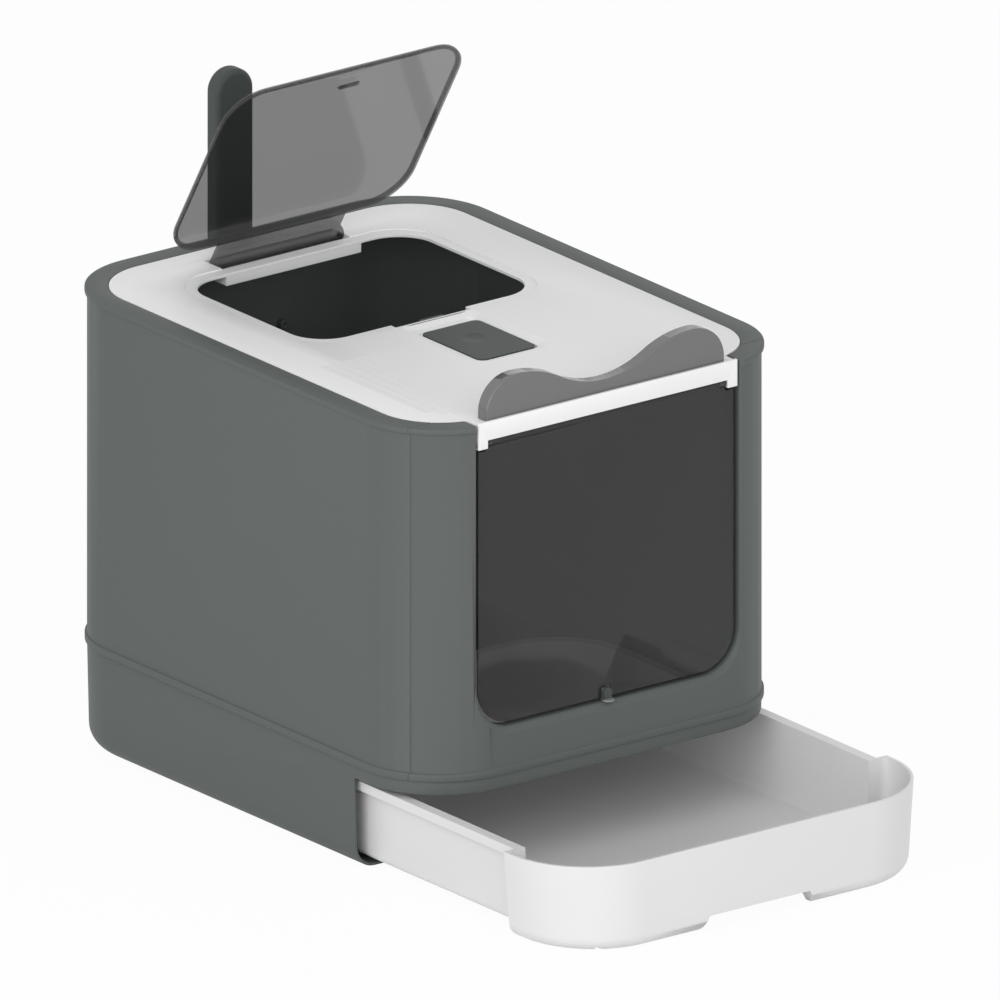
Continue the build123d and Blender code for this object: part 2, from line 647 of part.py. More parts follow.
with BuildPart() as door_lock_cam:
    catch_plate(cam_front_y + lock_plate)
    rod(Plane(origin=(0, cam_front_y + lock_plate, lock_pivot_z), z_dir=(0, 1, 0)),
        lock_shaft_radius + 1, lock_boss)
    rod(Plane(origin=(0, cam_front_y, lock_pivot_z), z_dir=(0, 1, 0)),
        lock_shaft_radius, lock_plate + lock_boss, Mode.SUBTRACT)
finish(door_lock_cam, "door_lock_cam")

# ---------------------------------------------------------------- crest over the door
with BuildPart() as ear_crest:
    with BuildSketch(Plane.XZ.offset(-crest_front_y)) as crest_face:
        with BuildLine():
            half = crest_width / 2
            middle = (crest_hump_x / 2, body_height + (crest_hump + crest_dip) / 2)
            Line((0, body_height), (half, body_height))
            Line((half, body_height), (half, body_height + crest_shoulder))
            shoulder = EllipticalCenterArc((crest_hump_x, body_height + crest_shoulder),
                                           half - crest_hump_x, crest_hump - crest_shoulder,
                                           start_angle=0, arc_size=90)
            fall = TangentArc(shoulder @ 1, middle, tangent=(-1, 0))
            TangentArc(middle, (0, body_height + crest_dip), tangent=fall % 1)
            Line((0, body_height + crest_dip), (0, body_height))
        make_face()
        mirror(about=Plane.YZ)
    extrude(amount=-crest_depth)
    fillet(ear_crest.faces().sort_by(Axis.Y)[0].edges().filter_by_position(
        Axis.Z, body_height + 1, body_height + 2 * crest_hump), crest_edge_radius)
    for side in (-1, 1):
        rod(Plane((side * crest_screw_x, crest_screw_y, body_height)), screw_radius + 0.02,
            screw_length - lid_thickness, Mode.SUBTRACT)
finish(ear_crest, "ear_crest")

with BuildPart() as crest_screws:
    for side in (-1, 1):
        rod(Plane((side * crest_screw_x, crest_screw_y, lid_bottom - screw_head)),
            screw_head_radius, screw_head)
        rod(Plane((side * crest_screw_x, crest_screw_y, lid_bottom)), screw_radius, screw_length - 1)
finish(crest_screws, "crest_screws")

# ---------------------------------------------------------------- drawer
drawer_y = -drawer_open
pan_back_y = back_y - pan_back_gap
pan_front_y = base_cut_y - drawer_front_setback
pan_back_radius = corner_radius - pan_back_gap


def pan_face(height, grow, front_end):
    """Plan of the narrow pan behind the drawer's front, so far outside its walls."""
    with BuildSketch(Plane((0, drawer_y, height))) as face:
        with Locations((0, front_end)):
            Rectangle(pan_width + 2 * grow, pan_back_y + grow - front_end,
                      align=(Align.CENTER, Align.MIN))
        fillet(face.vertices().group_by(Axis.Y)[-1], pan_back_radius + grow)
    return face.sketch


def front_face(height, inset, corner):
    """Plan of the drawer's front, as wide as the body, so far inside its outer face."""
    with BuildSketch(Plane((0, drawer_y, height))) as face:
        with Locations((0, drawer_front_y + inset)):
            Rectangle(drawer_front_width - 2 * inset, pan_front_y - drawer_front_y - 2 * inset,
                      align=(Align.CENTER, Align.MIN))
        fillet(face.vertices().group_by(Axis.Y)[0], drawer_front_radius - inset)
        if corner:
            fillet(face.vertices().group_by(Axis.Y)[-1], corner)
    return face.sketch


pan_floor = pan_bottom + wall
with BuildPart() as pan_void:
    extrude(pan_face(drawer_rim, -wall, pan_front_y - pan_void_lap), amount=pan_floor - drawer_rim,
            taper=pan_draft)
    extrude(front_face(drawer_rim, wall, void_corner_radius), amount=pan_floor - drawer_rim)
    fillet(pan_void.faces().sort_by(Axis.Z)[0].edges(), pan_inner_radius)

with BuildPart() as litter_drawer:
    # pan behind the front
    extrude(pan_face(drawer_rim, 0, pan_front_y - wall), amount=pan_bottom - drawer_rim, taper=pan_draft)
    fillet(litter_drawer.faces().sort_by(Axis.Z)[0].edges(), pan_edge_radius)
    # front, as wide as the body, standing on the floor
    extrude(front_face(drawer_rim, 0, 0), amount=-drawer_rim)
    sole = litter_drawer.faces().sort_by(Axis.Z)[0]
    fillet(sole.edges().filter_by_position(Axis.Y, -2000, drawer_y + pan_front_y - 1), front_edge_radius)
    # rails: a flange turned out and down along the sides and back
    for inner, bottom in ((-wall / 2, drawer_rim - wall), (rail_width - wall, drawer_rim - rail_skirt)):
        with BuildSketch(Plane((0, drawer_y, bottom))):
            add(pan_face(0, rail_width, pan_front_y).moved(Location((0, -drawer_y, 0))))
            add(pan_face(0, inner, pan_front_y).moved(Location((0, -drawer_y, 0))), mode=Mode.SUBTRACT)
        extrude(amount=drawer_rim - bottom)
    add(pan_void.part, mode=Mode.SUBTRACT)
    # hollow under the front, and the finger grip with the floor raised over it
    with BuildSketch(Plane((0, drawer_y, 0))):
        with Locations((0, (drawer_front_y + foot_width + pan_front_y) / 2)):
            Rectangle(drawer_front_width - 2 * foot_width - 40, pan_front_y - drawer_front_y - foot_width)
    extrude(amount=pan_bottom, mode=Mode.SUBTRACT)
    block(-grip_width_bottom / 2, grip_width_bottom / 2, drawer_y + drawer_front_y + wall / 2,
          drawer_y + drawer_front_y + grip_depth + wall, pan_bottom, grip_height + wall)
    with BuildSketch(Plane.XZ.offset(-(drawer_y + drawer_front_y - 1))):
        with BuildLine():
            Polyline((-grip_width_bottom / 2, -1), (-grip_width_bottom / 2, 0),
                     (-grip_width_top / 2, grip_height), (grip_width_top / 2, grip_height),
                     (grip_width_bottom / 2, 0), (grip_width_bottom / 2, -1), close=True)
        make_face()
    extrude(amount=-(grip_depth + 1), mode=Mode.SUBTRACT)
finish(litter_drawer, "litter_drawer")

# ---------------------------------------------------------------- scoop and its holder
scoop_tip_z = holder_bottom + holder_wall + lap_gap
with BuildPart() as litter_scoop:
    handle_bottom = scoop_neck_z - scoop_neck_lap
    handle_round_z = scoop_top - scoop_handle_width / 2
    with BuildSketch(Plane.XZ.offset(-scoop_handle_y)):
        with Locations((0, handle_bottom)):
            Rectangle(scoop_handle_width, handle_round_z - handle_bottom, align=(Align.CENTER, Align.MIN))
        with Locations((0, handle_round_z)):
            Circle(scoop_handle_width / 2)
    extrude(amount=-scoop_handle_depth)
    fillet(litter_scoop.faces().filter_by(Axis.Y).edges(), scoop_handle_edge)
    with BuildSketch(Plane.XZ.offset(-scoop_front_y)) as head_face:
        with BuildLine():
            half = scoop_head_width / 2
            shoulder_z = scoop_neck_z - scoop_neck_slope
            Polyline((-half, scoop_tip_z), (half, scoop_tip_z), (half, shoulder_z),
                     (scoop_handle_width / 2, scoop_neck_z), (-scoop_handle_width / 2, scoop_neck_z),
                     (-half, shoulder_z), close=True)
        make_face()
        fillet(head_face.vertices(), scoop_corner_radius)
    extrude(amount=-scoop_head_depth)
    # bowl, open to the back and at the tip
    with BuildSketch(Plane.XZ.offset(-scoop_front_y - scoop_wall)) as bowl_face:
        with BuildLine():
            inner = scoop_head_width / 2 - scoop_wall
            Polyline((-inner, scoop_tip_z - 5), (inner, scoop_tip_z - 5), (inner, scoop_neck_z - 43),
                     (scoop_handle_width / 2 - 2, scoop_neck_z - 3), (2 - scoop_handle_width / 2, scoop_neck_z - 3),
                     (-inner, scoop_neck_z - 43), close=True)
        make_face()
    extrude(amount=-scoop_head_depth, mode=Mode.SUBTRACT)
    with BuildSketch(Plane.XZ.offset(-scoop_front_y)):
        with Locations((0, (scoop_tip_z + scoop_neck_z) / 2 - 14)):
            with GridLocations(scoop_slot_pitch, 1, scoop_slots, 1):
                SlotOverall(96, scoop_slot_width, rotation=90)
    extrude(amount=-scoop_wall, mode=Mode.SUBTRACT)
finish(litter_scoop, "litter_scoop")

with BuildPart() as scoop_holder:
    holder_half = scoop_head_width / 2 + holder_gap + holder_wall
    holder_back_y = scoop_front_y + scoop_head_depth + holder_gap + holder_wall
    block(-holder_half, holder_half, back_y, holder_back_y, holder_bottom, holder_bottom + holder_height)
    block(-holder_half + holder_wall, holder_half - holder_wall, back_y + holder_wall,
          holder_back_y - holder_wall, holder_bottom + holder_wall, holder_bottom + holder_height,
          Mode.SUBTRACT)
    for side in (-1, 1):
        rod(Plane(origin=(side * holder_screw_x, back_y, holder_screw_z), z_dir=(0, 1, 0)),
            screw_radius + screw_hole_gap, holder_wall, Mode.SUBTRACT)
finish(scoop_holder, "scoop_holder")

with BuildPart() as holder_screws:
    for side in (-1, 1):
        head_plane = Plane(origin=(side * holder_screw_x, back_y + holder_wall, holder_screw_z),
                           z_dir=(0, 1, 0))
        rod(head_plane, screw_head_radius, holder_screw_head)
        rod(Plane(origin=(side * holder_screw_x, back_y + holder_wall - screw_length, holder_screw_z),
                  z_dir=(0, 1, 0)), screw_radius, screw_length)
finish(holder_screws, "holder_screws")
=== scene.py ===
"""Drawer litter box: moulded housing, white lid and drawer, smoked door, flap and crest.

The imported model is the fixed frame. The mouldings are shown by copies of their own nodes with
soft edges. The anti-slip ribs of the lid, the bead round the flap and the grip of the turn catch
are added, and every finish is procedural. Lengths are metres, except where a name ends in _mm.
"""
import json
import math

import bmesh
import bpy
from mathutils import Matrix, Vector


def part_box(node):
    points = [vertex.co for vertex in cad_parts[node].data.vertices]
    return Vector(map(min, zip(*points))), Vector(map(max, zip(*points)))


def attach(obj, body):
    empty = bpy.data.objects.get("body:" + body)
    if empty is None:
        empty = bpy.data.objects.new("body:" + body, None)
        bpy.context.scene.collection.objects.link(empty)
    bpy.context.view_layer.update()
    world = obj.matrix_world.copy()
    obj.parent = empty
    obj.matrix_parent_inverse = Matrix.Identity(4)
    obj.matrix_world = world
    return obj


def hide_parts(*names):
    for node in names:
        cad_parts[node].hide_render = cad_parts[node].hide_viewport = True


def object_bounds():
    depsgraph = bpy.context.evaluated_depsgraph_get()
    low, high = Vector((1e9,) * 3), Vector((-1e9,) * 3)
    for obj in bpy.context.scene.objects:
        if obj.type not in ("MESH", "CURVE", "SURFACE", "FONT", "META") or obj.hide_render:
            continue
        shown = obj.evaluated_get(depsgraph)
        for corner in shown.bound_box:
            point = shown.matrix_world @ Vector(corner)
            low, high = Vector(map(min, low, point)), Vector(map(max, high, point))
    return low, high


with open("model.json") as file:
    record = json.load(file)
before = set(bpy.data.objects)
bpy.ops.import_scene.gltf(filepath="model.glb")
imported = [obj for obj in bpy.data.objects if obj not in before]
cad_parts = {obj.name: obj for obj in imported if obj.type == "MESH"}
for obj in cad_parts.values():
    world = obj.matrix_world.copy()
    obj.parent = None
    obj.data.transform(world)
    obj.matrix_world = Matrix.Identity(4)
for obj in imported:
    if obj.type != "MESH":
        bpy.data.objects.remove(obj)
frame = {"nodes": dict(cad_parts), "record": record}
cad_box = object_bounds()

bl_info = {
    "name": "Drawer litter box",
    "version": (1, 0, 0),
    "blender": (4, 5, 0),
    "location": "View3D > Sidebar > Litter box",
    "description": "Dresses an enclosed litter box with a drawer, a swinging door and a top hatch",
    "category": "Object",
}

MM = 0.001
MERGE_DISTANCE = 2e-6
FLAT_ANGLE = math.radians(0.1)      # faces this close to flat are joined
CREASE_ANGLE = math.radians(32)     # edges sharper than this stay crisp
EDGE_SEGMENTS = 3                   # faces across a rounded edge
CORNER_STEPS = 10                   # faces round a quarter circle
BEAD_SIDES = 12
GRIP_STEPS = 20
RIB_SIDES = 16
SEATING = 0.05 * MM                 # how far the ribs reach into the lid
OVERCUT = 0.2 * MM                  # how far the pocket's cutter stands above the lid
CORNER_BAND = 0.9                   # share of a corner's radius where its rounding begins
KEY_PLACE = Vector((-2.2, -0.9, 1.0))
FILL_PLACE = Vector((-0.4, -2.3, 0.8))


def linear(hex_colour):
    """Linear RGB of an sRGB hex value."""
    channels = [int(hex_colour[i:i + 2], 16) / 255 for i in (1, 3, 5)]
    return [c / 12.92 if c <= 0.04045 else ((c + 0.055) / 1.055) ** 2.4 for c in channels]


def colour(name, description, hex_colour):
    """A colour setting, written as an sRGB hex value."""
    return bpy.props.FloatVectorProperty(
        name=name, description=description, subtype="COLOR", size=3, min=0, max=1,
        default=linear(hex_colour))


def length(name, description, millimetres):
    """A length setting, written in millimetres."""
    return bpy.props.FloatProperty(
        name=name, description=description, unit="LENGTH", min=0, default=millimetres * MM)


# ---------------------------------------------------------------- settings
class LitterBoxColours(bpy.types.PropertyGroup):
    """Colours of the mouldings."""
    housing: colour("Housing", "Grey of the base and the housing", "#595E5D")
    lid: colour("Lid", "White of the lid and its bar", "#EEEEEE")
    drawer: colour("Drawer", "White of the drawer", "#DFDEDF")
    smoke: colour("Smoked plastic", "Body colour of the see-through pieces", "#2C2C2C")
    # The crest's lighter grey is painted light: it stands for the white lid shining through the
    # smoked crest from behind.
    crest: colour("Crest", "Body colour of the thick smoked crest", "#6C6C6C")
    trim: colour("Trim", "Grey of the latch, scoop and holder", "#4A4F4E")
    # The grip's light grey is a painted highlight: it stands for the bright edge of the catch.
    catch: colour("Catch", "Grey of the grip of the door's turn catch", "#8A8D8C")
    steel: colour("Steel", "Plated steel of pins and screws", "#B4B4B2")


class LitterBoxSizes(bpy.types.PropertyGroup):
    """Sizes of the details that the moulds give."""
    shell_edge: length("Shell edge", "Radius of the outer edges of the housing", 0.9)
    lid_edge: length("Lid edge", "Radius of the edges of the lid", 0.5)
    door_edge: length("Door edge", "Radius of the edges of the smoked door", 0.8)
    trim_edge: length("Trim edge", "Radius of the edges of the holder", 0.6)
    front_length: length("Front length", "Drawer's front, from its face to the narrow pan", 90.5)
    front_draft: length("Front draft", "How far the front's sides lean in at the floor", 6.5)
    front_joint: length("Front joint", "Depth of the joint between the front and the pan", 6.0)
    pan_half: length("Pan half width", "Middle of the drawer to the outside of its pan", 186.0)
    latch_corner: length("Latch corner", "Radius of the back corners of the latch plate", 6.0)
    latch_cad_corner: length("Latch frame corner", "Radius of those corners in the frame", 14.0)
    pocket_play: length("Pocket play", "Gap round the latch plate", 1.2)
    pocket_slope: length("Pocket slope", "Width of the slope round the latch's pocket", 10.0)
    pocket_sink: length("Pocket sink", "Foot of the slope below the top of the latch", 0.5)
    latch_travel: length("Latch travel", "How far the latch slides back", 9.0)
    flap_length: length("Flap length", "Flap's front edge to its back edge", 193.0)
    flap_corner: length("Flap corner", "Radius of the flap's corners", 36.0)
    bead: length("Flap bead", "Radius of the bead along the flap's edge", 2.1)
    bead_sink: length("Flap bead sink", "Bead's middle below the flap's upper face", 0.3)
    grip: length("Catch grip", "Radius of the grip of the turn catch", 5.6)
    grip_foot: length("Catch grip foot", "Underside of the catch to the grip", 0.2)
    grip_depth: length("Catch grip depth", "Thickness of the grip", 1.6)
    grip_inset: length("Catch grip inset", "How far the grip reaches into the catch", 0.4)
    grip_edge: length("Catch grip edge", "Radius of the edges of the grip", 0.4)
    rib_pitch: length("Rib pitch", "Spacing of the anti-slip ribs on the lid", 8.74)
    rib_width: length("Rib width", "Width of one rib", 8.2)
    rib_height: length("Rib height", "Height of one rib above the lid", 0.14)
    rib_margin: length("Rib margin", "From the side of the lid to the first rib", 26.0)
    rib_front: length("Rib front margin", "From the front of the bar to the ribs", 28.2)
    rib_back: length("Rib back end", "Middle of the housing to the back ends of the ribs", 56.0)
    rib_gap: length("Rib gap", "From the slope round the latch's pocket to the ribs", 4.0)
    rib_corner: length("Rib corner", "Radius that the ribs' ends follow at the corners", 44.0)
    smoke_opacity: bpy.props.FloatProperty(
        name="Smoke opacity", description="Light held back at each surface of the smoked plastic",
        subtype="FACTOR", min=0, max=1, default=0.55)
    crest_opacity: bpy.props.FloatProperty(
        name="Crest opacity", description="Light held back at each surface of the thick crest",
        subtype="FACTOR", min=0, max=1, default=0.9)


class LitterBoxStage(bpy.types.PropertyGroup):
    """Camera, lamps and floor."""
    azimuth: bpy.props.FloatProperty(
        name="Azimuth", description="Camera's turn to the left of the front", subtype="ANGLE",
        default=math.radians(37.2))
    elevation: bpy.props.FloatProperty(
        name="Elevation", description="Camera's height above the horizon", subtype="ANGLE",
        default=math.radians(19.4))
    frame_width: length("Frame width", "Width of the picture at the object", 836.8)
    shift_right: length("Target right", "Picture's centre to the right of the origin", 63.35)
    shift_up: length("Target up", "Picture's centre above the origin", 227.3)
    distance: length("Distance", "Camera to the object's middle", 3000.0)
    floor_size: length("Floor size", "Side of the floor", 14000.0)
    lamp_size: length("Lamp size", "Side of both square lamps", 1800.0)
    world_strength: bpy.props.FloatProperty(
        name="World strength", description="Even light from all round", min=0, default=0.70)
    key_power: bpy.props.FloatProperty(
        name="Key power", description="Watts of the soft lamp on the left", min=0, default=21)
    fill_power: bpy.props.FloatProperty(
        name="Fill power", description="Watts of the soft lamp in front", min=0, default=14)
    shadow: bpy.props.FloatProperty(
        name="Floor shadow", description="How much of the shadow the floor shows",
        subtype="FACTOR", min=0, max=1, default=0.04)


def settings():
    """The scene's three groups of settings."""
    scene = bpy.context.scene
    return scene.litter_box_colours, scene.litter_box_sizes, scene.litter_box_stage


# ---------------------------------------------------------------- materials
def add_node(tree, kind, values=None, links=None, **properties):
    """Adds a node, sets its properties and sockets, and links what feeds it."""
    made = tree.nodes.new(kind)
    for name, value in properties.items():
        setattr(made, name, value)
    for name, value in (values or {}).items():
        made.inputs[name].default_value = value
    for name, socket in (links or {}).items():
        tree.links.new(socket, made.inputs[name])
    return made


def blank_material(name):
    """A new material with an empty node tree, and the place on the object as a socket."""
    material = bpy.data.materials.new(name)
    material.use_nodes = True
    tree = material.node_tree
    tree.nodes.clear()
    return material, tree, add_node(tree, "ShaderNodeTexCoord").outputs["Object"]


def per_metre(millimetres):
    """Texture scale whose features repeat about every so many millimetres."""
    return 1 / (millimetres * MM)


def moulded(name, rgb, roughness, grain_mm, grain_depth_mm, cloud_mm, cloud_amount,
            sheen_level=0.5):
    """A moulded plastic: a fine grain in the surface and faint clouds in its colour."""
    material, tree, place = blank_material(name)
    grain = add_node(tree, "ShaderNodeTexNoise", {"Scale": per_metre(grain_mm), "Detail": 2.0},
                     {"Vector": place})
    cloud = add_node(tree, "ShaderNodeTexNoise", {"Scale": per_metre(cloud_mm), "Detail": 3.0},
                     {"Vector": place})
    shade = add_node(tree, "ShaderNodeMapRange",
                     {"To Min": 1 - cloud_amount, "To Max": 1 + cloud_amount},
                     {"Value": cloud.outputs["Fac"]})
    body = add_node(tree, "ShaderNodeVectorMath", {0: rgb}, {1: shade.outputs["Result"]},
                    operation="MULTIPLY")
    gloss = add_node(tree, "ShaderNodeMapRange",
                     {"To Min": roughness - 0.05, "To Max": roughness + 0.05},
                     {"Value": cloud.outputs["Fac"]})
    bump = add_node(tree, "ShaderNodeBump", {"Strength": 1.0, "Distance": grain_depth_mm * MM},
                    {"Height": grain.outputs["Fac"]})
    skin = add_node(tree, "ShaderNodeBsdfPrincipled",
                    {"IOR": 1.49, "Specular IOR Level": sheen_level},
                    {"Base Color": body.outputs["Vector"], "Roughness": gloss.outputs["Result"],
                     "Normal": bump.outputs["Normal"]})
    add_node(tree, "ShaderNodeOutputMaterial", links={"Surface": skin.outputs["BSDF"]})
    return material


def matt_polypropylene(rgb):
    """Grey polypropylene from a spark-eroded mould: matt, with a fine even grain.

    The real grain is about 0.4 mm; it is drawn at 1.6 mm so that it shows at all.
    """
    return moulded("matt_polypropylene", rgb, roughness=0.55, grain_mm=1.6, grain_depth_mm=0.004,
                   cloud_mm=90, cloud_amount=0.03, sheen_level=0.3)


def white_polypropylene(rgb):
    """White satin polypropylene: smooth, with a soft wide highlight."""
    return moulded("white_polypropylene", rgb, roughness=0.42, grain_mm=2.4, grain_depth_mm=0.006,
                   cloud_mm=120, cloud_amount=0.015)


def drawer_polypropylene(rgb):
    """White polypropylene of a deep moulding: slightly wavy and a little glossier."""
    return moulded("drawer_polypropylene", rgb, roughness=0.36, grain_mm=14.0, grain_depth_mm=0.05,
                   cloud_mm=110, cloud_amount=0.02)


def trim_polypropylene(rgb):
    """Darker grey polypropylene of the small mouldings: matt and even."""
    return moulded("trim_polypropylene", rgb, roughness=0.5, grain_mm=1.6, grain_depth_mm=0.004,
                   cloud_mm=40, cloud_amount=0.03, sheen_level=0.2)


def catch_acetal_painted_highlight(rgb):
    """Acetal of the turn catch: smooth, slightly waxy, lighter than the door; its light grey is a
    painted highlight for the catch's bright edge.
    """
    return moulded("catch_acetal_painted_highlight", rgb, roughness=0.34, grain_mm=3.0, grain_depth_mm=0.01,
                   cloud_mm=10, cloud_amount=0.05)


def smoked_polystyrene(name, rgb, opacity):
    """Smoke-grey clear polystyrene: polished, so it mirrors the room and dims what is behind.

    The thin sheets let about half the light through; the thick crest is nearly opaque, and its
    lighter body colour is painted light that stands for the white lid shining through it from
    behind.
    """
    material, tree, place = blank_material(name)
    waves = add_node(tree, "ShaderNodeTexNoise", {"Scale": per_metre(35), "Detail": 1.0},
                     {"Vector": place})
    bump = add_node(tree, "ShaderNodeBump", {"Strength": 1.0, "Distance": 0.02 * MM},
                    {"Height": waves.outputs["Fac"]})
    haze = add_node(tree, "ShaderNodeMapRange", {"To Min": 0.05, "To Max": 0.12},
                    {"Value": waves.outputs["Fac"]})
    skin = add_node(tree, "ShaderNodeBsdfPrincipled",
                    {"Base Color": (*rgb, 1), "IOR": 1.59, "Alpha": opacity},
                    {"Roughness": haze.outputs["Result"], "Normal": bump.outputs["Normal"]})
    add_node(tree, "ShaderNodeOutputMaterial", links={"Surface": skin.outputs["BSDF"]})
    return material


def plated_steel(rgb):
    """Zinc-plated steel wire and screws: bright metal with fine drawing marks along the bar."""
    material, tree, place = blank_material("plated_steel")
    stretched = add_node(tree, "ShaderNodeMapping", {"Scale": (0.1, 1, 1)}, {"Vector": place})
    marks = add_node(tree, "ShaderNodeTexNoise", {"Scale": per_metre(0.6), "Detail": 2.0},
                     {"Vector": stretched.outputs["Vector"]})
    gloss = add_node(tree, "ShaderNodeMapRange", {"To Min": 0.22, "To Max": 0.38},
                     {"Value": marks.outputs["Fac"]})
    skin = add_node(tree, "ShaderNodeBsdfPrincipled", {"Base Color": (*rgb, 1), "Metallic": 1.0},
                    {"Roughness": gloss.outputs["Result"]})
    add_node(tree, "ShaderNodeOutputMaterial", links={"Surface": skin.outputs["BSDF"]})
    return material


def finish_of(kind):
    """The material of that kind, made when it is first asked for."""
    colours, sizes, _ = settings()
    makers = {
        "matt_polypropylene": lambda: matt_polypropylene(colours.housing),
        "white_polypropylene": lambda: white_polypropylene(colours.lid),
        "drawer_polypropylene": lambda: drawer_polypropylene(colours.drawer),
        "trim_polypropylene": lambda: trim_polypropylene(colours.trim),
        # The catch's light grey is a painted highlight for its bright edge.
        "catch_acetal_painted_highlight": lambda: catch_acetal_painted_highlight(colours.catch),
        "smoked_sheet": lambda: smoked_polystyrene(kind, colours.smoke, sizes.smoke_opacity),
        # The crest's lighter grey is painted light for the white lid seen through it from behind.
        "smoked_block_painted_backlight": lambda: smoked_polystyrene(kind, colours.crest, sizes.crest_opacity),
        "plated_steel": lambda: plated_steel(colours.steel),
    }
    return bpy.data.materials.get(kind) or makers[kind]()


# ---------------------------------------------------------------- making pieces
def dress(node, kind):
    """Gives a CAD node that stays its finish."""
    mesh = frame["nodes"][node].data
    mesh.materials.clear()
    mesh.materials.append(finish_of(kind))


def evaluated(piece):
    """The piece's mesh with its modifiers, which are then removed."""
    graph = bpy.context.evaluated_depsgraph_get()
    mesh = bpy.data.meshes.new_from_object(piece.evaluated_get(graph))
    piece.modifiers.clear()
    return mesh


def clean_copy(node, name, kind):
    """A copy of a node with its loose triangles joined into whole faces."""
    mesh = frame["nodes"][node].data.copy()
    mesh.name = name
    form = bmesh.new()
    form.from_mesh(mesh)
    bmesh.ops.remove_doubles(form, verts=form.verts, dist=MERGE_DISTANCE)
    bmesh.ops.dissolve_limit(form, angle_limit=FLAT_ANGLE, verts=form.verts, edges=form.edges)
    form.to_mesh(mesh)
    form.free()
    mesh.materials.clear()
    mesh.materials.append(finish_of(kind))
    mesh.shade_smooth()
    piece = bpy.data.objects.new(name, mesh)
    bpy.context.scene.collection.objects.link(piece)
    return piece


def round_edges(piece, edge):
    """Rounds every sharp edge of a piece."""
    rounding = piece.modifiers.new("edges", "BEVEL")
    rounding.width = edge
    rounding.segments = EDGE_SEGMENTS
    rounding.limit_method = "ANGLE"
    rounding.angle_limit = CREASE_ANGLE
    rounding.use_clamp_overlap = False
    rounding.harden_normals = True
    rounding.miter_outer = "MITER_ARC"
    piece.data = evaluated(piece)


def even_shading(piece):
    """Keeps flat faces flat beside curved ones, with the sharp edges crisp."""
    piece.data.shade_smooth()
    piece.data.set_sharp_from_angle(angle=CREASE_ANGLE)
    weighting = piece.modifiers.new("normals", "WEIGHTED_NORMAL")
    weighting.keep_sharp = True
    piece.data = evaluated(piece)


def show_for(piece, node, body):
    """Shows a piece in a node's place."""
    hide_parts(node)
    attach(piece, body)


def softened(node, name, body, kind, edge):
    """A copy of a node with its sharp edges rounded, which is shown in its place."""
    piece = clean_copy(node, name, kind)
    round_edges(piece, edge)
    show_for(piece, node, body)


def polished(node, name, body, kind):
    """A copy of a node whose edges are already round, which is shown in its place."""
    piece = clean_copy(node, name, kind)
    even_shading(piece)
    show_for(piece, node, body)


def new_piece(name, points, faces, kind):
    """A mesh piece from its points and faces, with its faces turned outwards."""
    mesh = bpy.data.meshes.new(name)
    mesh.from_pydata(points, [], faces)
    form = bmesh.new()
    form.from_mesh(mesh)
    bmesh.ops.recalc_face_normals(form, faces=form.faces)
    form.to_mesh(mesh)
    form.free()
    mesh.materials.append(finish_of(kind))
    piece = bpy.data.objects.new(name, mesh)
    bpy.context.scene.collection.objects.link(piece)
    return piece


def rounded_rectangle(half_width, front, back, radius, level):
    """Points round a rectangle with round corners, at one height."""
    points = []
    for quarter, (x, y) in enumerate(((half_width - radius, back - radius),
                                      (radius - half_width, back - radius),
                                      (radius - half_width, front + radius),
                                      (half_width - radius, front + radius))):
        for step in range(CORNER_STEPS + 1):
            angle = (quarter + step / CORNER_STEPS) * math.pi / 2
            points.append(Vector((x + radius * math.cos(angle), y + radius * math.sin(angle),
                                  level)))
    return points


def between(rings, closed):
    """Faces that join rings of equally many points, and close the ends or the loop."""
    count = len(rings[0])
    faces = []
    for ring in range(len(rings) if closed else len(rings) - 1):
        following = (ring + 1) % len(rings)
        for point in range(count):
            beside = (point + 1) % count
            faces.append((ring * count + point, ring * count + beside,
                          following * count + beside, following * count + point))
    if not closed:
        faces.append(tuple(range(count)))
        faces.append(tuple(range((len(rings) - 1) * count, len(rings) * count)))
    return faces


def slope_pocket(lid):
    """Cuts a soft slope round the latch's pocket out of the lid."""
    sizes = bpy.context.scene.litter_box_sizes
    low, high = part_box("lid_latch")
    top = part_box("front_frame")[1].z
    rings = []
    for grow, level in ((sizes.pocket_play, high.z - sizes.pocket_sink),
                        (sizes.pocket_play + sizes.pocket_slope, top + OVERCUT)):
        back = high.y + sizes.latch_travel + grow
        rings.append(rounded_rectangle(high.x + grow, low.y - grow, back,
                                       sizes.latch_corner + grow, level))
    cutter = new_piece("pocket_cutter", [point for ring in rings for point in ring],
                       between(rings, False), "white_polypropylene")
    cut = lid.modifiers.new("pocket", "BOOLEAN")
    cut.operation = "DIFFERENCE"
    cut.object = cutter
    lid.data = evaluated(lid)
    bpy.data.objects.remove(cutter)


def tighten_latch_corners(latch):
    """Gives the back corners of the latch plate their smaller radius."""
    sizes = bpy.context.scene.litter_box_sizes
    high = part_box("lid_latch")[1]
    wide, tight = sizes.latch_cad_corner, sizes.latch_corner
    for vertex in latch.data.vertices:
        place = vertex.co
        away = Vector((abs(place.x) - high.x + wide, place.y - high.y + wide))
        if min(away) > 0 and away.length > CORNER_BAND * wide:
            side = math.copysign(1, place.x)
            direction = away.normalized()
            place.x = side * (high.x - tight + tight * direction.x)
            place.y = high.y - tight + tight * direction.y


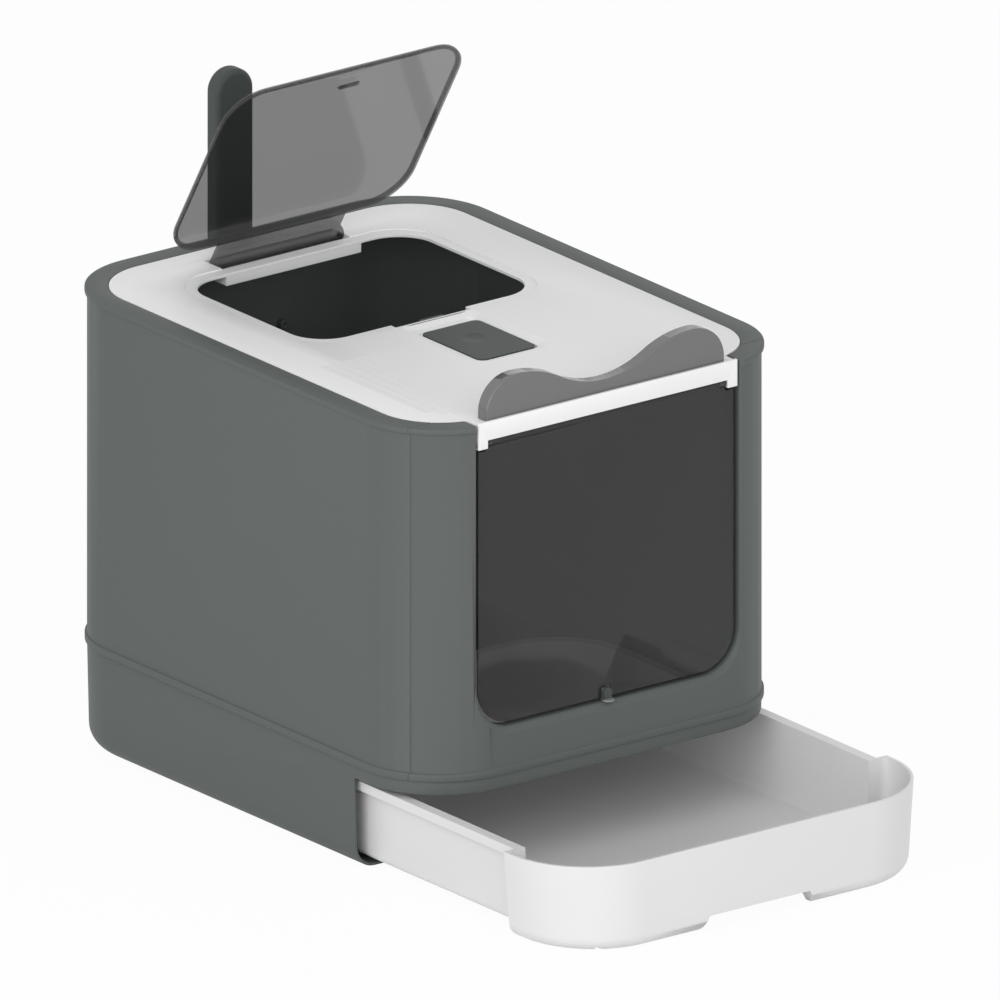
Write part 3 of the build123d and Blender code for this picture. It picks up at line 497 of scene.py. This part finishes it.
def draft_drawer_front(drawer):
    """Leans the sides of the drawer's front inwards towards the floor, as its mould needs."""
    sizes = bpy.context.scene.litter_box_sizes
    low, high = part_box("litter_drawer")
    front_end = low.y + sizes.front_length
    for vertex in drawer.data.vertices:
        place = vertex.co
        before_joint = place.y < front_end - sizes.front_joint
        if before_joint or (place.y < front_end and abs(place.x) > sizes.pan_half):
            depth = (high.z - place.z) / (high.z - low.z)
            place.x *= 1 - depth * sizes.front_draft / high.x


def flap_turn():
    """Turns a point of the closed flap to where the flap stands at rest."""
    joint = next(j for j in frame["record"]["behaviour"]["joints"] if j["name"] == "flap_hinge")
    place = Matrix.Translation(Vector(joint["pos_m"]))
    closing = math.radians(min(joint["range_deg"]))
    return place @ Matrix.Rotation(-closing, 4, Vector(joint["axis"])) @ place.inverted()


def flap_bead():
    """Round bead along the edge of the flap, on its upper face."""
    sizes = bpy.context.scene.litter_box_sizes
    opening = flap_turn()
    closing = opening.inverted()
    corners = [closing @ vertex.co for vertex in frame["nodes"]["top_flap"].data.vertices]
    half_width = max(corner.x for corner in corners)
    front = min(corner.y for corner in corners)
    top = max(corner.z for corner in corners)
    path = rounded_rectangle(half_width - sizes.bead, front + sizes.bead,
                             front + sizes.flap_length - sizes.bead,
                             sizes.flap_corner - sizes.bead, top - sizes.bead_sink)
    rings = []
    for index, point in enumerate(path):
        along = (path[(index + 1) % len(path)] - path[index - 1]).normalized()
        outwards = along.cross(Vector((0, 0, 1)))
        ring = []
        for step in range(BEAD_SIDES):
            angle = step * math.tau / BEAD_SIDES
            offset = outwards * math.cos(angle) + Vector((0, 0, math.sin(angle)))
            ring.append(opening @ (point + offset * sizes.bead))
        rings.append(ring)
    piece = new_piece("flap_bead", [point for ring in rings for point in ring],
                      between(rings, True), "smoked_sheet")
    piece.data.shade_smooth()
    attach(piece, "flap")


def catch_grip():
    """Half-round grip on the outer half of the turn catch, in a light grey that is a painted
    highlight.
    """
    sizes = bpy.context.scene.litter_box_sizes
    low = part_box("door_lock_knob")[0]
    centre = low.y + sizes.grip_inset
    angles = [math.pi + math.pi * step / GRIP_STEPS for step in range(GRIP_STEPS + 1)]
    foot = low.z + sizes.grip_foot
    rings = []
    for level in (foot, foot + sizes.grip_depth):
        rings.append([Vector((sizes.grip * math.cos(angle), centre + sizes.grip * math.sin(angle),
                              level)) for angle in angles])
    piece = new_piece("catch_grip", [point for ring in rings for point in ring],
                      between(rings, False), "catch_acetal_painted_highlight")
    round_edges(piece, sizes.grip_edge)
    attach(piece, "door_catch")


# ---------------------------------------------------------------- lid ribs
def rib_tree():
    """Geometry Nodes: parallel ribs whose ends follow a rounded field and stop at the latch."""
    tree = bpy.data.node_groups.new("lid_ribs", "GeometryNodeTree")
    face = tree.interface
    face.new_socket("Geometry", in_out="OUTPUT", socket_type="NodeSocketGeometry")
    for name in ("Pitch", "Width", "Height", "Half field", "Front", "Back", "Corner",
                 "Latch half", "Latch front", "Level"):
        face.new_socket(name, in_out="INPUT", socket_type="NodeSocketFloat")
    face.new_socket("Count", in_out="INPUT", socket_type="NodeSocketInt")
    face.new_socket("Finish", in_out="INPUT", socket_type="NodeSocketMaterial")
    given = tree.nodes.new("NodeGroupInput").outputs

    def fed(made, *values):
        """The node's result, with its sockets set to numbers or linked in their order."""
        for socket, value in zip(made.inputs, values):
            if isinstance(value, float):
                socket.default_value = value
            else:
                tree.links.new(value, socket)
        return made.outputs[0]

    def math_node(operation, first, second=0.0):
        return fed(add_node(tree, "ShaderNodeMath", operation=operation), first, second)

    def vector(x, y, z):
        return fed(add_node(tree, "ShaderNodeCombineXYZ"), x, y, z)

    index = add_node(tree, "GeometryNodeInputIndex").outputs[0]
    middle = math_node("MULTIPLY", math_node("SUBTRACT", given["Count"], 1.0), 0.5)
    across = math_node("MULTIPLY", math_node("SUBTRACT", index, middle), given["Pitch"])
    aside = math_node("ABSOLUTE", across)
    into_corner = math_node("MAXIMUM", math_node(
        "ADD", math_node("SUBTRACT", aside, given["Half field"]), given["Corner"]), 0.0)
    chord = math_node("SQRT", math_node("MAXIMUM", math_node(
        "SUBTRACT", math_node("POWER", given["Corner"], 2.0), math_node("POWER", into_corner, 2.0)),
        0.0))
    start = math_node("ADD", given["Front"], math_node("SUBTRACT", given["Corner"], chord))
    by_latch = math_node("LESS_THAN", aside, given["Latch half"])
    shorter = math_node("SUBTRACT", given["Latch front"], given["Back"])
    cut = math_node("MULTIPLY", by_latch, shorter)
    end = math_node("ADD", given["Back"], cut)
    half_length = math_node("MULTIPLY", math_node("SUBTRACT", end, start), 0.5)
    centre = math_node("MULTIPLY", math_node("ADD", end, start), 0.5)

    points = add_node(tree, "GeometryNodePoints", links={
        "Count": given["Count"], "Position": vector(across, centre, given["Level"])})
    bar = add_node(tree, "GeometryNodeMeshCylinder",
                   {"Vertices": RIB_SIDES, "Radius": 1.0, "Depth": 2.0}, fill_type="NGON")
    laid = add_node(tree, "GeometryNodeTransform", {"Rotation": (math.radians(90), 0, 0)},
                    {"Geometry": bar.outputs["Mesh"]})
    scale = vector(math_node("MULTIPLY", given["Width"], 0.5), half_length, given["Height"])
    ribs = add_node(tree, "GeometryNodeInstanceOnPoints", links={
        "Points": points.outputs["Points"], "Instance": laid.outputs["Geometry"], "Scale": scale})
    solid = add_node(tree, "GeometryNodeRealizeInstances",
                     links={"Geometry": ribs.outputs["Instances"]})
    finish = add_node(tree, "GeometryNodeSetMaterial", links={
        "Geometry": solid.outputs["Geometry"], "Material": given["Finish"]})
    out = tree.nodes.new("NodeGroupOutput")
    tree.links.new(finish.outputs["Geometry"], out.inputs["Geometry"])
    return tree


def grown(tree, name, inputs):
    """A plain mesh piece made by a Geometry Nodes tree with those inputs."""
    piece = bpy.data.objects.new(name, bpy.data.meshes.new(name))
    bpy.context.scene.collection.objects.link(piece)
    growth = piece.modifiers.new(name, "NODES")
    growth.node_group = tree
    for item in tree.interface.items_tree:
        if item.item_type == "SOCKET" and item.in_out == "INPUT":
            growth[item.identifier] = inputs[item.name]
    piece.data = evaluated(piece)
    return piece


# ---------------------------------------------------------------- operators
class LITTERBOX_OT_housing(bpy.types.Operator):
    """Round the edges of the base and the two halves of the housing"""
    bl_idname = "litterbox.housing"
    bl_label = "Housing"

    def execute(self, context):
        edge = context.scene.litter_box_sizes.shell_edge
        for node, name in (("base_tray", "base_moulding"), ("front_frame", "front_moulding"),
                           ("rear_shell", "rear_moulding")):
            softened(node, name, "housing", "matt_polypropylene", edge)
        return {"FINISHED"}


class LITTERBOX_OT_lid(bpy.types.Operator):
    """Slope the latch's pocket, round the lid's edges and lay the anti-slip ribs on it"""
    bl_idname = "litterbox.lid"
    bl_label = "Lid"

    def execute(self, context):
        sizes = context.scene.litter_box_sizes
        lid = clean_copy("top_lid", "lid_moulding", "white_polypropylene")
        slope_pocket(lid)
        round_edges(lid, sizes.lid_edge)
        show_for(lid, "top_lid", "housing")
        low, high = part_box("top_lid")
        latch_low, latch_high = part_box("lid_latch")
        half_field = high.x - sizes.rib_margin
        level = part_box("front_frame")[1].z
        ribs = grown(rib_tree(), "lid_ribs", {
            "Pitch": sizes.rib_pitch, "Width": sizes.rib_width, "Height": sizes.rib_height,
            "Half field": half_field, "Front": low.y + sizes.rib_front,
            "Back": -sizes.rib_back, "Corner": sizes.rib_corner,
            "Latch half": latch_high.x + sizes.pocket_slope + sizes.rib_gap,
            "Latch front": latch_low.y - sizes.pocket_slope - sizes.rib_gap,
            "Level": level - SEATING,
            "Count": 2 * int(half_field / sizes.rib_pitch) + 1,
            "Finish": finish_of("white_polypropylene")})
        even_shading(ribs)
        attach(ribs, "housing")
        return {"FINISHED"}


class LITTERBOX_OT_clear_pieces(bpy.types.Operator):
    """Polish the crest, the top flap with its bead, and the front door"""
    bl_idname = "litterbox.clear_pieces"
    bl_label = "Clear pieces"

    def execute(self, context):
        polished("ear_crest", "crest_clear", "housing", "smoked_block_painted_backlight")
        polished("top_flap", "flap_clear", "flap", "smoked_sheet")
        flap_bead()
        softened("front_door", "door_clear", "door", "smoked_sheet",
                 context.scene.litter_box_sizes.door_edge)
        return {"FINISHED"}


class LITTERBOX_OT_drawer(bpy.types.Operator):
    """Lean the sides of the drawer's front and even the drawer's shading"""
    bl_idname = "litterbox.drawer"
    bl_label = "Drawer"

    def execute(self, context):
        drawer = clean_copy("litter_drawer", "drawer_moulding", "drawer_polypropylene")
        draft_drawer_front(drawer)
        even_shading(drawer)
        show_for(drawer, "litter_drawer", "drawer")
        return {"FINISHED"}


class LITTERBOX_OT_trim(bpy.types.Operator):
    """Finish the latch, the scoop and its holder"""
    bl_idname = "litterbox.trim"
    bl_label = "Latch, scoop and holder"

    def execute(self, context):
        latch = clean_copy("lid_latch", "latch_plate", "trim_polypropylene")
        tighten_latch_corners(latch)
        even_shading(latch)
        show_for(latch, "lid_latch", "latch")
        polished("litter_scoop", "scoop_moulding", "scoop", "trim_polypropylene")
        softened("scoop_holder", "holder_moulding", "housing", "trim_polypropylene",
                 context.scene.litter_box_sizes.trim_edge)
        dress("latch_bolt", "trim_polypropylene")
        dress("hinge_washers", "trim_polypropylene")
        return {"FINISHED"}


class LITTERBOX_OT_catch(bpy.types.Operator):
    """Finish the turn catch of the door and add its grip"""
    bl_idname = "litterbox.catch"
    bl_label = "Turn catch"

    def execute(self, context):
        for node, name in (("door_lock_knob", "catch_knob"), ("door_lock_cam", "catch_cam")):
            polished(node, name, "door_catch", "trim_polypropylene")
        catch_grip()
        return {"FINISHED"}


class LITTERBOX_OT_metal(bpy.types.Operator):
    """Plate the pins and screws"""
    bl_idname = "litterbox.metal"
    bl_label = "Pins and screws"

    def execute(self, context):
        for node in ("shell_screws", "crest_screws", "holder_screws", "latch_screw",
                     "flap_hinge_pin", "door_pins"):
            dress(node, "plated_steel")
        return {"FINISHED"}


class LITTERBOX_OT_stage(bpy.types.Operator):
    """Set up the camera, the lamps, the world and the floor"""
    bl_idname = "litterbox.stage"
    bl_label = "Stage"

    def execute(self, context):
        stage = context.scene.litter_box_stage
        right, up, back = view_axes(stage.azimuth, stage.elevation)
        target = right * stage.shift_right + up * stage.shift_up
        add_camera(target, right, up, back)
        add_lamp("key_lamp", KEY_PLACE, stage.lamp_size, stage.key_power)
        add_lamp("fill_lamp", FILL_PLACE, stage.lamp_size, stage.fill_power)
        add_floor()
        light_world()
        context.scene.view_settings.view_transform = "Standard"
        return {"FINISHED"}


# ---------------------------------------------------------------- stage
def view_axes(azimuth, elevation):
    """Right, up and back of a camera turned to the left of the front and raised."""
    back = Vector((-math.sin(azimuth) * math.cos(elevation),
                   -math.cos(azimuth) * math.cos(elevation), math.sin(elevation)))
    right = Vector((math.cos(azimuth), -math.sin(azimuth), 0))
    return right, back.cross(right), back


def add_camera(target, right, up, back):
    """Parallel camera with the photograph's framing."""
    stage = bpy.context.scene.litter_box_stage
    data = bpy.data.cameras.new("camera")
    data.type = "ORTHO"
    data.ortho_scale = stage.frame_width
    camera = bpy.data.objects.new("camera", data)
    turn = Matrix((right, up, back)).transposed().to_4x4()
    camera.matrix_world = Matrix.Translation(target + back * stage.distance) @ turn
    bpy.context.scene.collection.objects.link(camera)
    bpy.context.scene.camera = camera


def add_lamp(name, place, size, power):
    """Soft square lamp that faces the middle of the object."""
    data = bpy.data.lights.new(name, "AREA")
    data.size = size
    data.energy = power
    lamp = bpy.data.objects.new(name, data)
    middle = (cad_box[0] + cad_box[1]) / 2
    aim = (middle - place).to_track_quat("-Z", "Y").to_matrix().to_4x4()
    lamp.matrix_world = Matrix.Translation(place) @ aim
    bpy.context.scene.collection.objects.link(lamp)


def seen_directly(tree):
    """1 for camera rays and what glossy and clear surfaces show, 0 for light on the object."""
    path = add_node(tree, "ShaderNodeLightPath")
    both = add_node(tree, "ShaderNodeMath", links={
        0: path.outputs["Is Camera Ray"], 1: path.outputs["Is Transmission Ray"]},
        operation="MAXIMUM")
    return add_node(tree, "ShaderNodeMath", links={
        0: both.outputs[0], 1: path.outputs["Is Glossy Ray"]}, operation="MAXIMUM").outputs[0]


def add_floor():
    """Plain white floor that shows as white, with a faint shadow."""
    stage = bpy.context.scene.litter_box_stage
    half = stage.floor_size / 2
    mesh = bpy.data.meshes.new("floor")
    mesh.from_pydata([(-half, -half, 0), (half, -half, 0), (half, half, 0), (-half, half, 0)], [],
                     [(0, 1, 2, 3)])
    material = bpy.data.materials.new("studio_floor")
    material.use_nodes = True
    tree = material.node_tree
    tree.nodes.clear()
    paint = add_node(tree, "ShaderNodeBsdfDiffuse", {"Color": (*linear("#E6E6E6"), 1)})
    glow = add_node(tree, "ShaderNodeEmission", {"Color": (1, 1, 1, 1), "Strength": 1.0})
    share = add_node(tree, "ShaderNodeMath", {1: 1 - stage.shadow}, {0: seen_directly(tree)},
                     operation="MULTIPLY")
    mix = add_node(tree, "ShaderNodeMixShader", links={
        "Fac": share.outputs[0], 1: paint.outputs["BSDF"], 2: glow.outputs["Emission"]})
    add_node(tree, "ShaderNodeOutputMaterial", links={"Surface": mix.outputs["Shader"]})
    mesh.materials.append(material)
    floor = bpy.data.objects.new("floor", mesh)
    bpy.context.scene.collection.objects.link(floor)


def light_world():
    """Even white room: full white where it is seen, softer as light on the object."""
    stage = bpy.context.scene.litter_box_stage
    world = bpy.data.worlds.new("white_room")
    world.use_nodes = True
    tree = world.node_tree
    tree.nodes.clear()
    strength = add_node(tree, "ShaderNodeMapRange",
                        {"To Min": stage.world_strength, "To Max": 1.0},
                        {"Value": seen_directly(tree)})
    room = add_node(tree, "ShaderNodeBackground", {"Color": (1, 1, 1, 1)},
                    {"Strength": strength.outputs["Result"]})
    add_node(tree, "ShaderNodeOutputWorld", links={"Surface": room.outputs["Background"]})
    bpy.context.scene.world = world


# ---------------------------------------------------------------- panel and main
class LITTERBOX_PT_panel(bpy.types.Panel):
    """Buttons and settings of the litter box"""
    bl_idname = "LITTERBOX_PT_panel"
    bl_label = "Litter box"
    bl_space_type = "VIEW_3D"
    bl_region_type = "UI"
    bl_category = "Litter box"

    def draw(self, context):
        for operator in OPERATORS:
            self.layout.operator(operator.bl_idname)
        for group in settings():
            for name in group.__annotations__:
                self.layout.prop(group, name)


GROUPS = {"litter_box_colours": LitterBoxColours, "litter_box_sizes": LitterBoxSizes,
          "litter_box_stage": LitterBoxStage}
OPERATORS = (LITTERBOX_OT_stage, LITTERBOX_OT_housing, LITTERBOX_OT_lid,
             LITTERBOX_OT_clear_pieces, LITTERBOX_OT_drawer, LITTERBOX_OT_trim,
             LITTERBOX_OT_catch, LITTERBOX_OT_metal)
CLASSES = (*GROUPS.values(), *OPERATORS, LITTERBOX_PT_panel)


def register():
    for item in CLASSES:
        bpy.utils.register_class(item)
    for name, group in GROUPS.items():
        setattr(bpy.types.Scene, name, bpy.props.PointerProperty(type=group))


def unregister():
    for name in GROUPS:
        delattr(bpy.types.Scene, name)
    for item in reversed(CLASSES):
        bpy.utils.unregister_class(item)


def main():
    register()
    for operator in OPERATORS:
        group, name = operator.bl_idname.split(".")
        getattr(getattr(bpy.ops, group), name)()


if __name__ == "__main__":
    main()
